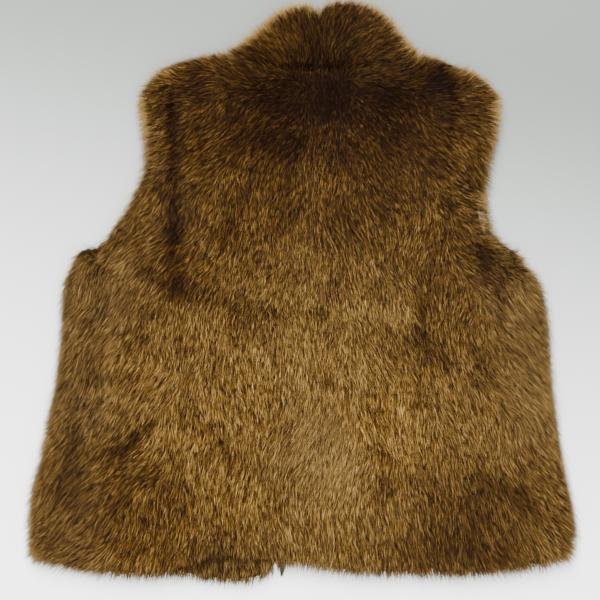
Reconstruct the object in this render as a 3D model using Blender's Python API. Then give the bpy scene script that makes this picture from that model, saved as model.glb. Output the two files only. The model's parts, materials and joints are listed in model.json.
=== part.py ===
"""A faux fur vest with a stand collar, laid flat on a table with its back uppermost.

Sizes are in millimetres. x runs across the vest and y up it from the hem line. At the end the whole is
moved so that the origin is the middle of its footprint. Each panel is a wall as thick as its cloth and
pile together, since the pile is part of the body of fur cloth. Two fronts lie on the table, roll over at
the sides and come up to the side seams, and the four pieces of the back lie on them. The collar's halves
roll over at the neck in the same way.
"""

import math
from collections import namedtuple

import bmesh
import bpy
import numpy as np
from mathutils import Vector

MM = 0.001

# The layers: the fronts are pressed by what lies on them, and the back is lofty.
FRONT_THICK = 8.0
LAYER_GAP = 0.4
BACK_THICK = 12.1
BACK_FLOOR = FRONT_THICK + LAYER_GAP
BACK_TOP = BACK_FLOOR + BACK_THICK

# The rolled sides: a round outside, and a small hollow inside where the cloth turns back on itself.
ROLL_RADIUS = BACK_TOP / 2
ROLL_LENGTH = math.pi * ROLL_RADIUS
HOLLOW_RADIUS = 1.5
HOLLOW_HEIGHT = FRONT_THICK + LAYER_GAP / 2

# Neighbours stay this far apart at a seam, and the pile sinks towards the stitching.
SEAM_GAP = 0.7
SEAM_DIP = 3.2
SEAM_REACH = 13.0

# Free edges are rounded by the pile. A nose is where the outermost point lies, from 0 at the inner side
# of the wall to 1 at its furry side.
LIP = 0.6
EDGE_RADIUS = 12.0
EDGE_UNDER = 6.0
FREE_NOSE = 0.42
CLOSING_NOSE = 0.5
SHOULDER_NOSE = 0.06

# A seam turns into a free edge over this stretch, half before and half after the point where it ends.
FREEING = 12.0

# Close points along the lines that two pieces share, and along the finest of them.
TRACED_POINTS = 60
FINE_POINTS = 240

# Places of the grid lines near a free edge and near a seam, and the spacing between them.
FREE_STATIONS = (0.0, 1.6, 6.0, 12.0)
SEAM_STATIONS = (0.0, 3.5, 8.0, 13.0)
BACK_STEP = 13.0
FRONT_STEP = 18.0
COLLAR_STEP = 9.0

# The closing of the fronts. It lies aslant, and its tape ends in a point just below the hem.
CLOSING_AT_HEM = -19.0
CLOSING_SLANT = 0.07
CLOSING_WIDTH = 10.0
TAPE_BOTTOM = 2.6
TAPE_THICK = 1.6
TAPE_POINT_Y = -5.0
TAPE_SHOULDER_Y = 12.0
TAPE_TOP_Y = 548.0
TAPE_TIP_WIDTH = 1.6

# The satin lining that shows on the inside of the right front where it passes the back's armhole.
LINING_GAP = 0.35
LINING_THICK = 1.2
LINING_SETBACK = 1.8
LINING_FROM_Y = 332.0
LINING_TO_Y = 412.0
LINING_ROWS = 13

# Steps round the half circle of a roll, the last shares of a row at which a roll may begin and end, and
# how fast the hollow inside it opens.
ROLL_STEPS = 8
LAST_ROLL_START = 0.86
LAST_ROLL_END = 0.955
HOLLOW_OPENING = 3

NECK_MIDDLE = 18.0

# Width that each half of the collar's plan is stretched to, how far short of its fold the neckline is
# traced, and the shares of its rows and of the fronts'.
COLLAR_WIDTH = 90.0
NECKLINE_END = 1.0
COLLAR_FLAT = np.array([0, 0.05, 0.14, 0.26, 0.38, 0.5, 0.62, 0.74, 0.88, 1])
COLLAR_STRIP = np.array([0.12, 0.25, 0.38, 0.51, 0.63, 0.74, 0.85, 0.94, 1])
FRONT_STRIP = np.array([0.3, 0.6, 0.82, 1])
FRONT_STIFFNESS = 4

# Sections across the body below the armholes: the folded sides, side seams and princess seams.
Section = namedtuple(
    "Section", "height left_fold left_seam left_princess right_princess right_seam right_fold")
SECTIONS = (
    Section(0, -262, -226, -134, 132, 228, 262),
    Section(18, -267, -225, -133, 131, 227, 266),
    Section(42, -269, -223.5, -130, 129, 225, 271),
    Section(78, -267, -221, -126, 125, 221, 265),
    Section(102, -260, -215, -124, 122, 214, 260),
    Section(150, -251, -202, -120, 118, 203, 253),
    Section(198, -242, -196, -118, 117, 196, 248),
    Section(240, -238.5, -195, -119, 119, 195, 246),
    Section(282, -237, -197, -121.5, 127, 198, 240),
    Section(306, -227, -203, -122.5, 133, 203, 222),
)

# Sections at the armholes. The front's edges are measured along its cloth from the middle of the vest.
Armhole = namedtuple(
    "Armhole", "height left_front left_back left_princess right_princess right_back right_front")
ARMHOLES = (
    Armhole(314, 238, -202, -123, 135, 201, 226),
    Armhole(321, 217, -199.5, -123, 136, 194.5, 206),
    Armhole(327, 200, -196, -123, 138, 189, 197),
    Armhole(336, 189, -191, -124, 140, 184, 192),
    Armhole(354, 177, -178, -125, 142, 178, 187),
    Armhole(372, 167, -169, -126, 143, 177.5, 185),
    Armhole(390, 158, -159.5, -127, 145, 181, 187),
    Armhole(420, 154, -156, -128, 148, 188.5, 192),
    Armhole(448, 157, -158.5, -129, 149, 195.5, 198),
    Armhole(472, 162, -163.5, -130, 150, 199, 198),
)

# Edges that run across, as the distance from the middle and the height above the hem line.
Point = namedtuple("Point", "x y")
LEFT_BACK_HEM = (Point(-226, 3), Point(-186, -1), Point(-150, -3), Point(-134, -3))
CENTRE_BACK_HEM = (Point(-134, -3), Point(-110, 2), Point(-84, 9), Point(-48, 10), Point(0, 8),
                   Point(30, 3), Point(70, -1), Point(104, -1), Point(132, -2))
RIGHT_BACK_HEM = (Point(132, -2), Point(174, -1), Point(198, 1), Point(228, 5))
WAIST_SEAM = (Point(-120.5, 272), Point(-60, 263), Point(0, 257), Point(60, 251), Point(120.5, 248))
LEFT_SHOULDER = (Point(-163.5, 476), Point(-156, 487), Point(-146, 497), Point(-130, 507))
RIGHT_SHOULDER = (Point(198.5, 476), Point(188, 487), Point(172, 498), Point(150, 506))
CENTRE_TOP = (Point(-130, 507), Point(-104, 514), Point(-80, 519), Point(-60, 512), Point(-24, 505),
              Point(18, 502), Point(62, 504), Point(103, 511), Point(122, 517), Point(136, 513),
              Point(150, 506))
LEFT_FRONT_HEM = (Point(-34, -4), Point(-50, -10), Point(-72, -11), Point(-100, -7), Point(-140, -1),
                  Point(-200, 3), Point(-240, 7))
RIGHT_FRONT_HEM = (Point(60, 11), Point(140, 8), Point(210, 9), Point(240, 12))
LEFT_FRONT_NECK = (Point(-20, 487), Point(-50, 498), Point(-80, 519))
RIGHT_FRONT_NECK = (Point(58, 489), Point(92, 499), Point(122, 517))
LEFT_FRONT_SHOULDER = (Point(-104, 515), Point(-126, 510), Point(-145, 500), Point(-153, 489),
                       Point(-160.5, 475))
RIGHT_FRONT_SHOULDER = (Point(136, 514), Point(151, 508), Point(173, 499), Point(188, 488),
                        Point(198, 475))
LEFT_COLLAR_BACK_TOP = (Point(-10, 565), Point(4, 567), Point(18, 560))
RIGHT_COLLAR_BACK_TOP = (Point(58, 570), Point(42, 572), Point(28, 569), Point(18, 560))
HEM_AT_FOLD = 15.0
LEFT_FRONT_CORNER_Y = 6.0
RIGHT_FRONT_CORNER_Y = 13.0
FRONT_NECK_Y = 483.0
CENTRE_NECK_Y = 502.0
COLLAR_FRONT_Y = 562.0
COLLAR_BACK_Y = 560.0
LEFT_COLLAR_FOLD = (Point(-80, 519), Point(-66, 524), Point(-44, 540), Point(-26, 556), Point(-20, 561))
RIGHT_COLLAR_FOLD = (Point(122, 517), Point(110, 525), Point(98, 540), Point(84, 556), Point(76, 563))

# Folds, ridges and hollows that lift or sink the top of the cloth along a line.
Fold = namedtuple("Fold", "name from_x from_y to_x to_y half_width rise")
FOLDS = (
    Fold("lower left crease", -139, 148, -182, 108, 10, -4.0),
    Fold("left side hollow", -223, 140, -237, 80, 10, -3.4),
    Fold("left underarm crease", -172, 332, -200, 288, 10, -3.4),
    Fold("left waist crease", -129, 293, -172, 276, 10, -3.4),
    Fold("left waist pinch", -233, 183, -200, 186, 11, -3.0),
    Fold("right underarm crease", 176, 310, 198, 268, 11, -4.0),
    Fold("right waist pinch", 128, 222, 188, 190, 14, -3.4),
    Fold("lower right furrow", 71, 178, 86, 85, 14, -3.2),
    Fold("right hem hollow", 205, 66, 232, 78, 14, -3.0),
    Fold("right hem dent", 108, 27, 106, 4, 11, -3.0),
    Fold("left hem dent", -80, 42, -72, 8, 14, -3.0),
    Fold("nape hollow", -40, 466, 90, 472, 26, -3.0),
    Fold("centre ridge", 44, 165, 2, 108, 24, 2.6),
    Fold("right hip ridge", 100, 162, 114, 116, 15, 2.4),
    Fold("waist swell", 30, 266, 112, 262, 10, 2.2),
    Fold("left shoulder blade", -82, 424, -70, 350, 36, 2.6),
    Fold("right shoulder blade", 100, 424, 88, 350, 36, 2.6),
    Fold("left hip ridge", -178, 244, -182, 176, 12, 2.2),
    Fold("right hip swell", 166, 140, 176, 90, 18, 2.2),
)

FUR_BROWN = (0.16, 0.085, 0.03)
FUR_UNDER = (0.11, 0.06, 0.024)
SATIN_GOLD = (0.46, 0.32, 0.16)
TAPE_BLACK = (0.012, 0.011, 0.012)


def follow(x, y, at):
    """A smooth curve through points of rising x that doesn't swing past them, read at some values of x."""
    x, y = np.array(x, float), np.array(y, float)
    step = np.diff(y) / np.diff(x)
    inner = [2 * a * b / (a + b) if a * b > 0 else 0.0 for a, b in zip(step[:-1], step[1:])]
    slope = np.array([step[0], *inner, step[-1]])
    at = np.clip(np.asarray(at, float), x[0], x[-1])
    i = np.clip(np.searchsorted(x, at) - 1, 0, len(x) - 2)
    width = x[i + 1] - x[i]
    t = (at - x[i]) / width
    ease = t * t * (3 - 2 * t)
    bend = width * t * (1 - t) * (slope[i] * (1 - t) - slope[i + 1] * t)
    return y[i] * (1 - ease) + y[i + 1] * ease + bend


def column(table, name, at):
    """One column of a table of sections, read smoothly at a height."""
    return follow([row.height for row in table], [getattr(row, name) for row in table], at)


def along(points, shares):
    """Points at these shares of the length of a smooth line through the given points."""
    points = np.array(points, float)
    knots = np.concatenate([[0], np.cumsum(np.linalg.norm(np.diff(points, axis=0), axis=1))])
    fine = np.linspace(0, knots[-1], 500)
    line = np.stack([follow(knots, points[:, k], fine) for k in (0, 1)], axis=1)
    length = np.concatenate([[0], np.cumsum(np.linalg.norm(np.diff(line, axis=0), axis=1))])
    wanted = np.asarray(shares, float) * length[-1]
    return np.stack([np.interp(wanted, length, line[:, k]) for k in (0, 1)], axis=-1)


def stations(length, step, start, end):
    """Shares of a length, close together at both ends and an even number of steps apart."""
    middle = length - start[-1] - end[-1]
    count = 2 * max(1, round(middle / step / 2)) + (len(start) + len(end)) % 2
    between = start[-1] + middle * np.arange(1, count) / count
    return np.concatenate([start, between, length - np.array(end[::-1])]) / length


def length_of(points):
    """The length of a smooth line through points."""
    line = along(points, np.linspace(0, 1, TRACED_POINTS))
    return np.linalg.norm(np.diff(line, axis=0), axis=1).sum()


def patch(left, right, bottom, top, u, v, stiffness=1):
    """A plan filled between four sides that share their corners. u gives each row's shares across.

    Its rows bend to follow the bottom and the top. Stiff ones straighten sooner away from them.
    """
    u, v = np.broadcast_arrays(u, v[:, None])
    plan = (1 - u)[..., None] * along(left, v) + u[..., None] * along(right, v)
    for line, pull in ((bottom, (1 - v) ** stiffness), (top, v ** stiffness)):
        first, last = np.array(line[0], float), np.array(line[-1], float)
        chord = (1 - u)[..., None] * first + u[..., None] * last
        plan += pull[..., None] * (along(line, u) - chord)
    return plan


def grid_sides(grid):
    """The four sides of a grid of points, each as the grid's lines counted from that side."""
    across = grid.swapaxes(0, 1)
    return {"left": across, "right": across[::-1], "bottom": grid, "top": grid[::-1]}


def draw_in(outer, inner, seams):
    """Both sides of a wall, drawn in by half the gap at its seams so that neighbours don't touch."""
    outer, inner = outer.copy(), inner.copy()
    over, under = grid_sides(outer), grid_sides(inner)
    for side in seams:
        edge = over[side][0]
        inward = over[side][2] - edge
        run = np.gradient(edge, axis=0)
        run /= np.linalg.norm(run, axis=1)[:, None]
        inward -= (inward * run).sum(axis=1)[:, None] * run
        inward /= np.linalg.norm(inward, axis=1)[:, None]
        over[side][0] += inward * SEAM_GAP / 2
        under[side][0] += inward * SEAM_GAP / 2
    return outer, inner


def side_distances(grid):
    """Each point's distance from the nearest stretch of each side of its grid."""
    gaps = {}
    for side, lines in grid_sides(grid).items():
        start, run = lines[0][:-1], np.diff(lines[0], axis=0)
        offset = grid[:, :, None, :] - start
        share = np.clip((offset * run).sum(-1) / (run * run).sum(-1), 0, 1)
        gaps[side] = np.linalg.norm(offset - share[..., None] * run, axis=-1).min(axis=-1)
    return gaps


def relief(x, y):
    """How far the folds lift or sink the top of the cloth."""
    height = np.zeros(np.broadcast(x, y).shape)
    for fold in FOLDS:
        start = np.array([fold.from_x, fold.from_y], float)
        run = np.array([fold.to_x, fold.to_y], float) - start
        share = np.clip(((x - start[0]) * run[0] + (y - start[1]) * run[1]) / run.dot(run), 0, 1)
        gap = np.hypot(x - start[0] - share * run[0], y - start[1] - share * run[1])
        height += fold.rise * np.exp(-((gap / fold.half_width) ** 2))
    return height


def rounding(distance, radius):
    """From 0 at an edge to 1 at its radius from it, rising as a quarter circle does."""
    share = np.clip(distance / radius, 0, 1)
    return np.sqrt(np.clip(1 - (1 - share) ** 2, 0, 1))


def freedom(beyond):
    """From 0 where an edge is a seam to 1 where it is free, by the distance beyond the end of the seam."""
    return np.clip(beyond / FREEING + 0.5, 0, 1)


def dress_edges(outer, inner, free, seams):
    """The wall's two sides with its seams sunk and its free edges rounded.

    free maps a side to how free each of its points is and to its nose; seams maps a side to how strongly
    the pile sinks there.
    """
    gaps = side_distances(outer)
    outer, inner = draw_in(outer, inner, seams)
    thick = np.linalg.norm(outer - inner, axis=2)
    for side, strength in seams.items():
        dip = strength * SEAM_DIP * np.clip(1 - gaps[side] / SEAM_REACH, 0, 1) ** 2
        outer += (inner - outer) * (dip / thick)[..., None]
    for side, (share, nose) in free.items():
        over = 1 - share * (1 - rounding(gaps[side], EDGE_RADIUS * np.minimum(1, thick / BACK_THICK)))
        under = 1 - share * (1 - rounding(gaps[side], EDGE_UNDER))
        lip = LIP / thick
        high, low = np.clip(nose + lip, 0, 1), np.clip(nose - lip, 0, 1)
        tip = inner + (outer - inner) * high[..., None]
        heel = inner + (outer - inner) * low[..., None]
        outer, inner = tip + (outer - tip) * over[..., None], heel + (inner - heel) * under[..., None]
    return outer, inner


def back_wall(plan):
    """The two sides of a back panel over its plan, before its edges are dressed."""
    x, y = plan[..., 0], plan[..., 1]
    outer = np.stack([x, y, BACK_TOP + relief(x, y)], axis=-1)
    inner = np.stack([x, y, np.full(x.shape, BACK_FLOOR)], axis=-1)
    return outer, inner


def rolled_wall(plan, side, middle, fold):
    """The two sides of a panel that lies on the table, rolls over at a fold and comes back on top.

    The plan's first value is the distance along the cloth from the middle. side is -1 on the left and 1
    on the right, and fold gives the place of the outermost point at a height.
    """
    along_cloth, y = plan[..., 0], plan[..., 1]
    turn_at = np.abs(fold(y) - middle) - ROLL_RADIUS
    angle = np.clip((along_cloth - turn_at) / ROLL_RADIUS, 0, math.pi)
    rest = np.minimum(along_cloth, turn_at) - np.clip(along_cloth - turn_at - ROLL_LENGTH, 0, None)
    x = middle + side * (rest + ROLL_RADIUS * np.sin(angle))
    z = ROLL_RADIUS * (1 - np.cos(angle))
    lift = 1 + relief(x, y) / BACK_TOP
    outer = np.stack([x, y, z * lift], axis=-1)
    turning = np.sin(angle)
    flat = np.where(angle > math.pi / 2, BACK_FLOOR, FRONT_THICK)
    bulge = np.clip(turning * HOLLOW_OPENING, 0, 1)
    hollow_z = HOLLOW_HEIGHT - HOLLOW_RADIUS * np.cos(angle)
    inner_z = flat + (hollow_z - flat) * bulge
    inner = np.stack([middle + side * (rest + HOLLOW_RADIUS * turning), y, inner_z], axis=-1)
    return outer, inner


def unrolled(point, side, middle, fold, on_top):
    """A point of the table's plan as a distance along a rolled panel's cloth, and its height."""
    reach = side * (point.x - middle)
    turn_at = abs(float(fold(point.y)) - middle) - ROLL_RADIUS
    if reach > turn_at:
        angle = math.asin(min(1, (reach - turn_at) / ROLL_RADIUS))
        return (turn_at + ROLL_RADIUS * (math.pi - angle if on_top else angle), point.y)
    return (2 * turn_at + ROLL_LENGTH - reach if on_top else reach, point.y)


def roll_shares(start, end, roll_from, roll_to, flat, strip):
    """Shares across one row of a rolled panel: its flat part, its roll and the part that comes back."""
    first = min((roll_from - start) / (end - start), LAST_ROLL_START)
    last = min((roll_to - start) / (end - start), LAST_ROLL_END)
    turning = np.arange(1, ROLL_STEPS + 1) / ROLL_STEPS
    return np.concatenate([first * flat, first + (last - first) * turning, last + (1 - last) * strip])


def wall(name, outer, inner, colour, roughness=0.9):
    """One closed wall between two grids of points. Inside its border the inner side has half the lines."""
    rows, columns = outer.shape[:2]
    mesh = bmesh.new()
    over = {(j, i): mesh.verts.new(Vector(outer[j, i]) * MM) for j in range(rows) for i in range(columns)}
    under = {(j, i): mesh.verts.new(Vector(inner[j, i]) * MM) for j in range(rows) for i in range(columns)
             if (j % 2 == 0 and i % 2 == 0) or j in (0, rows - 1) or i in (0, columns - 1)}
    for j in range(rows - 1):
        for i in range(columns - 1):
            mesh.faces.new([over[place] for place in ((j, i), (j, i + 1), (j + 1, i + 1), (j + 1, i))])
    for j in range(0, rows - 1, 2):
        for i in range(0, columns - 1, 2):
            ring = ((j, i), (j, i + 1), (j, i + 2), (j + 1, i + 2),
                    (j + 2, i + 2), (j + 2, i + 1), (j + 2, i), (j + 1, i))
            mesh.faces.new([under[place] for place in ring if place in under])
    border = [(0, i) for i in range(columns)] + [(j, columns - 1) for j in range(1, rows)]
    border += [(rows - 1, i) for i in range(columns - 2, -1, -1)]
    border += [(j, 0) for j in range(rows - 2, -1, -1)]
    for near, far in zip(border[:-1], border[1:]):
        mesh.faces.new((over[near], over[far], under[far], under[near]))
    bmesh.ops.recalc_face_normals(mesh, faces=mesh.faces)
    data = bpy.data.meshes.new(name)
    mesh.to_mesh(data)
    mesh.free()
    data.shade_smooth()
    data.set_sharp_from_angle(angle=math.radians(50))
    data.materials.append(material(name, colour, roughness))
    piece = bpy.data.objects.new(name, data)
    bpy.context.collection.objects.link(piece)
    return piece


def material(name, colour, roughness):
    """A plain finish of its own for one piece."""
    finish = bpy.data.materials.new(name)
    finish.use_nodes = True
    surface = finish.node_tree.nodes["Principled BSDF"]
    surface.inputs["Base Color"].default_value = (*colour, 1)
    surface.inputs["Roughness"].default_value = roughness
    return finish


def section_points(name):
    """A seam's points above the hem, up to the underarm."""
    return [Point(getattr(row, name), row.height) for row in SECTIONS[1:]]


def armhole_points(name):
    """The points of an armhole's edge, or of a princess seam beside it."""
    return [Point(getattr(row, name), row.height) for row in ARMHOLES]


def closing_at(y):
    """The middle of the closing at a height."""
    return CLOSING_AT_HEM + CLOSING_SLANT * y


def closing_edge(side, y):
    """The edge of one front, or of one half of the collar, beside the closing tape."""
    return closing_at(y) + side * (CLOSING_WIDTH / 2 + LAYER_GAP)


def princess(side):
    """A princess seam from the hem to the shoulder."""
    name = "left_princess" if side < 0 else "right_princess"
    hem, shoulder = (LEFT_BACK_HEM, LEFT_SHOULDER) if side < 0 else (RIGHT_BACK_HEM, RIGHT_SHOULDER)
    ends = (hem[-1], shoulder[-1]) if side < 0 else (hem[0], shoulder[-1])
    return [ends[0], *section_points(name), *armhole_points(name), ends[1]]


def traced(points, count=TRACED_POINTS):
    """Close points along the smooth line through the given ones, for edges that two pieces share."""
    return [Point(*place) for place in along(points, np.linspace(0, 1, count))]


def side_seam(side):
    """The side seam from the hem to the underarm, as the table's plan shows it."""
    hem = LEFT_BACK_HEM[0] if side < 0 else RIGHT_BACK_HEM[-1]
    return traced([hem, *section_points("left_seam" if side < 0 else "right_seam")])


def split_at(line, height):
    """A seam's points below and above a height, both with the point at that height."""
    reach = follow([point.y for point in line], [point.x for point in line], height)
    middle = Point(float(reach), height)
    below = [point for point in line if point.y < height]
    return [*below, middle], [middle, *(point for point in line if point.y > height)]


def back_side(name, side):
    """The side panel of the back, from the side seam and armhole to the princess seam."""
    word = "left" if side < 0 else "right"
    hem = LEFT_BACK_HEM if side < 0 else RIGHT_BACK_HEM[::-1]
    shoulder = LEFT_SHOULDER if side < 0 else RIGHT_SHOULDER
    edge = [*side_seam(side), *armhole_points(f"{word}_back")[:-1], shoulder[0]]
    seam = princess(side)
    u = stations(length_of(hem), BACK_STEP, SEAM_STATIONS, SEAM_STATIONS)
    v = stations(length_of(seam), BACK_STEP, FREE_STATIONS, FREE_STATIONS)
    plan = patch(edge, seam, hem, shoulder, u, v)
    armhole = freedom(plan[:, :1, 1] - SECTIONS[-1].height)
    free = {"bottom": (1, FREE_NOSE), "top": (1, SHOULDER_NOSE), "left": (armhole, FREE_NOSE)}
    outer, inner = dress_edges(*back_wall(plan), free, {"left": 1 - armhole, "right": 1})
    return wall(name, outer, inner, FUR_BROWN)


def back_centre(name, lower):
    """A centre panel of the back, below or above the waist seam."""
    left = split_at(princess(-1), WAIST_SEAM[0].y)
    right = split_at(princess(1), WAIST_SEAM[-1].y)
    index = 0 if lower else 1
    waist = [left[0][-1], *WAIST_SEAM[1:-1], right[0][-1]]
    bottom, top = (CENTRE_BACK_HEM, waist) if lower else (waist, CENTRE_TOP)
    u = stations(length_of(waist), BACK_STEP, SEAM_STATIONS, SEAM_STATIONS)
    ends = (FREE_STATIONS, SEAM_STATIONS) if lower else (SEAM_STATIONS, FREE_STATIONS)
    v = stations(length_of(left[index]), BACK_STEP, *ends)
    plan = patch(left[index], right[index], bottom, top, u, v)
    if lower:
        free, seams = {"bottom": (1, FREE_NOSE)}, {"left": 1, "right": 1, "top": 1}
    else:
        across = plan[-1:, :, 0]
        shoulder = freedom(LEFT_COLLAR_FOLD[0].x - across) + freedom(across - RIGHT_COLLAR_FOLD[0].x)
        free = {"top": (shoulder, SHOULDER_NOSE)}
        seams = {"left": 1, "right": 1, "bottom": 1, "top": 1 - shoulder}
    outer, inner = dress_edges(*back_wall(plan), free, seams)
    return wall(name, outer, inner, FUR_BROWN)


def side_fold(side):
    """The outermost point of the folded side at a height, held level above the underarm."""
    name = "left_fold" if side < 0 else "right_fold"
    limit = SECTIONS[-1].height
    return lambda y: column(SECTIONS, name, np.clip(y, 0, limit))


def front_neck(side):
    """The front neckline from the closing to the neck point at the shoulder."""
    inner = LEFT_FRONT_NECK if side < 0 else RIGHT_FRONT_NECK
    return traced([Point(closing_edge(side, FRONT_NECK_Y), FRONT_NECK_Y), *inner])


def front(name, side):
    """A front, from the closing round the side fold to the side seam on top."""
    word = "left" if side < 0 else "right"
    fold = side_fold(side)
    under_hem = LEFT_FRONT_HEM if side < 0 else RIGHT_FRONT_HEM
    shoulder = LEFT_FRONT_SHOULDER if side < 0 else RIGHT_FRONT_SHOULDER
    hem_y = LEFT_FRONT_CORNER_Y if side < 0 else RIGHT_FRONT_CORNER_Y
    closing = [(side * closing_edge(side, y), y) for y in (hem_y, FRONT_NECK_Y)]
    seam = [unrolled(point, side, 0, fold, True) for point in side_seam(side)]
    underarm = [(getattr(row, f"{word}_front"), row.height) for row in ARMHOLES[:-1]]
    top = [(side * point.x, point.y) for point in (*front_neck(side), *shoulder)]
    edge = [*seam, *underarm, top[-1]]
    turn_at = abs(float(fold(0))) - ROLL_RADIUS
    hem = [closing[0], *[(side * point.x, point.y) for point in under_hem],
           (turn_at + ROLL_LENGTH / 2, HEM_AT_FOLD), seam[0]]
    v = stations(length_of(edge), FRONT_STEP, FREE_STATIONS, FREE_STATIONS)
    flat = stations(turn_at, FRONT_STEP, FREE_STATIONS, (0.0,))
    rows = []
    for start, end in zip(along(closing, v), along(edge, v)):
        turn_at = abs(float(fold(end[1]))) - ROLL_RADIUS
        rows.append(roll_shares(start[0], end[0], turn_at, turn_at + ROLL_LENGTH, flat, FRONT_STRIP))
    plan = patch(closing, edge, hem, top, np.array(rows), v, FRONT_STIFFNESS)
    armhole = freedom(plan[:, -1:, 1] - SECTIONS[-1].height)
    beyond_neck = plan[-1:, :, 0] - side * front_neck(side)[-1].x
    free = {"bottom": (1, FREE_NOSE), "left": (1, CLOSING_NOSE), "right": (armhole, FREE_NOSE),
            "top": (freedom(beyond_neck), SHOULDER_NOSE)}
    seams = {"right": 1 - armhole, "top": 0}
    outer, inner = dress_edges(*rolled_wall(plan, side, 0, fold), free, seams)
    return wall(name, outer, inner, FUR_UNDER)


def collar(name, side):
    """One half of the stand collar, from the closing round its side fold to the centre back seam.

    Its plan is stretched to one width at every height, so that it ends in a straight line at the seam.
    """
    line = LEFT_COLLAR_FOLD if side < 0 else RIGHT_COLLAR_FOLD
    back_top = LEFT_COLLAR_BACK_TOP if side < 0 else RIGHT_COLLAR_BACK_TOP

    def fold(y):
        return follow([point.y for point in line], [point.x for point in line], y)

    def turn_at(y):
        return np.abs(fold(y) - NECK_MIDDLE) - ROLL_RADIUS

    def width(y):
        return 2 * turn_at(y) + ROLL_LENGTH

    def spread(points, on_top):
        flat = [unrolled(point, side, NECK_MIDDLE, fold, on_top) for point in points]
        return [(reach / float(width(y)) * COLLAR_WIDTH, y) for reach, y in flat]

    heights = np.linspace(FRONT_NECK_Y, COLLAR_FRONT_Y, TRACED_POINTS)
    closing = spread([Point(closing_edge(side, y), y) for y in heights], False)
    seam = [(COLLAR_WIDTH, y) for y in (CENTRE_NECK_Y, COLLAR_BACK_Y)]
    neckline = [point for point in traced(CENTRE_TOP, FINE_POINTS)
                if 0 < side * (point.x - NECK_MIDDLE) < side * (line[0].x - NECK_MIDDLE) - NECKLINE_END]
    neckline.sort(key=lambda point: -side * point.x)
    base = [*spread(front_neck(side)[:-1], False), *spread([line[0], *neckline], True), seam[0]]
    under_top = traced([Point(closing_edge(side, COLLAR_FRONT_Y), COLLAR_FRONT_Y), line[-1]])
    over_top = traced([line[-1], *back_top])
    top = [*spread(under_top[:-1], False), *spread(over_top[:-1], True), seam[-1]]
    v = stations(length_of(seam), COLLAR_STEP, SEAM_STATIONS, FREE_STATIONS)
    rows = []
    for start, y in zip(along(closing, v)[:, 0], np.interp(v, (0, 1), (line[0].y, line[-1].y))):
        scale = COLLAR_WIDTH / float(width(y))
        turn = float(turn_at(y))
        rows.append(roll_shares(start, COLLAR_WIDTH, turn * scale, (turn + ROLL_LENGTH) * scale,
                                COLLAR_FLAT, COLLAR_STRIP))
    plan = patch(closing, seam, base, top, np.array(rows), v)
    plan[..., 0] *= width(plan[..., 1]) / COLLAR_WIDTH
    free = {"left": (1, CLOSING_NOSE), "top": (1, FREE_NOSE)}
    sides = rolled_wall(plan, side, NECK_MIDDLE, fold)
    outer, inner = dress_edges(*sides, free, {"bottom": 1, "right": 1})
    return wall(name, outer, inner, FUR_BROWN)


def closing_tape():
    """The black tape of the closing, with its pointed end below the hem."""
    heights = np.array([TAPE_POINT_Y, TAPE_SHOULDER_Y, 100, 240, 380, 500, TAPE_TOP_Y])
    half = np.full(len(heights), CLOSING_WIDTH / 2)
    half[0] = TAPE_TIP_WIDTH / 2
    across = np.array([-1.0, 0.0, 1.0])
    x = closing_at(heights)[:, None] + half[:, None] * across
    y = np.broadcast_to(heights[:, None], x.shape)
    under = np.stack([x, y, np.full(x.shape, TAPE_BOTTOM)], axis=-1)
    over = under + [0, 0, TAPE_THICK]
    return wall("closing_tape", over, under, TAPE_BLACK, 0.6)


def armhole_lining():
    """The strip of satin lining on the inside of the right front, along its armhole."""
    y = np.linspace(LINING_FROM_Y, LINING_TO_Y, LINING_ROWS)
    edge = column(ARMHOLES, "right_front", y) - LINING_SETBACK
    back = column(ARMHOLES, "right_back", y)
    across = np.array([0.0, 0.5, 1.0])
    x = back[:, None] + (edge - back)[:, None] * across
    height = np.full(x.shape, FRONT_THICK + LINING_GAP)
    under = np.stack([x, np.broadcast_to(y[:, None], x.shape), height], axis=-1)
    return wall("armhole_lining", under + [0, 0, LINING_THICK], under, SATIN_GOLD, 0.35)


def centre_on_origin(pieces):
    """Move all the pieces so that the origin is the middle of the footprint."""
    corners = np.array([tuple(vertex.co) for piece in pieces for vertex in piece.data.vertices])
    low, high = corners.min(axis=0), corners.max(axis=0)
    shift = Vector((-(low[0] + high[0]) / 2, -(low[1] + high[1]) / 2, -low[2]))
    for piece in pieces:
        for vertex in piece.data.vertices:
            vertex.co += shift


def main():
    """Build the vest."""
    for obj in list(bpy.data.objects):
        bpy.data.objects.remove(obj, do_unlink=True)
    pieces = [
        front("front_left", -1),
        front("front_right", 1),
        back_side("back_side_left", -1),
        back_side("back_side_right", 1),
        back_centre("back_lower_centre", True),
        back_centre("back_upper_centre", False),
        collar("collar_left", -1),
        collar("collar_right", 1),
        closing_tape(),
        armhole_lining(),
    ]
    centre_on_origin(pieces)


main()
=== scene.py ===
"""The looks of a faux fur vest that lies flat on a pale table with its back uppermost.

Each panel of the frame becomes a thin shell of cloth with fur growing on it. The fur is made of tapered
ribbons, gathered in tufts that are combed by a table of guides. Sizes in the tables are in millimetres.
"""

import json
import logging
import math
from dataclasses import dataclass, field
from enum import Enum

import bmesh
import bpy
import numpy as np
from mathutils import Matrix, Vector
from mathutils.bvhtree import BVHTree

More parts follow.
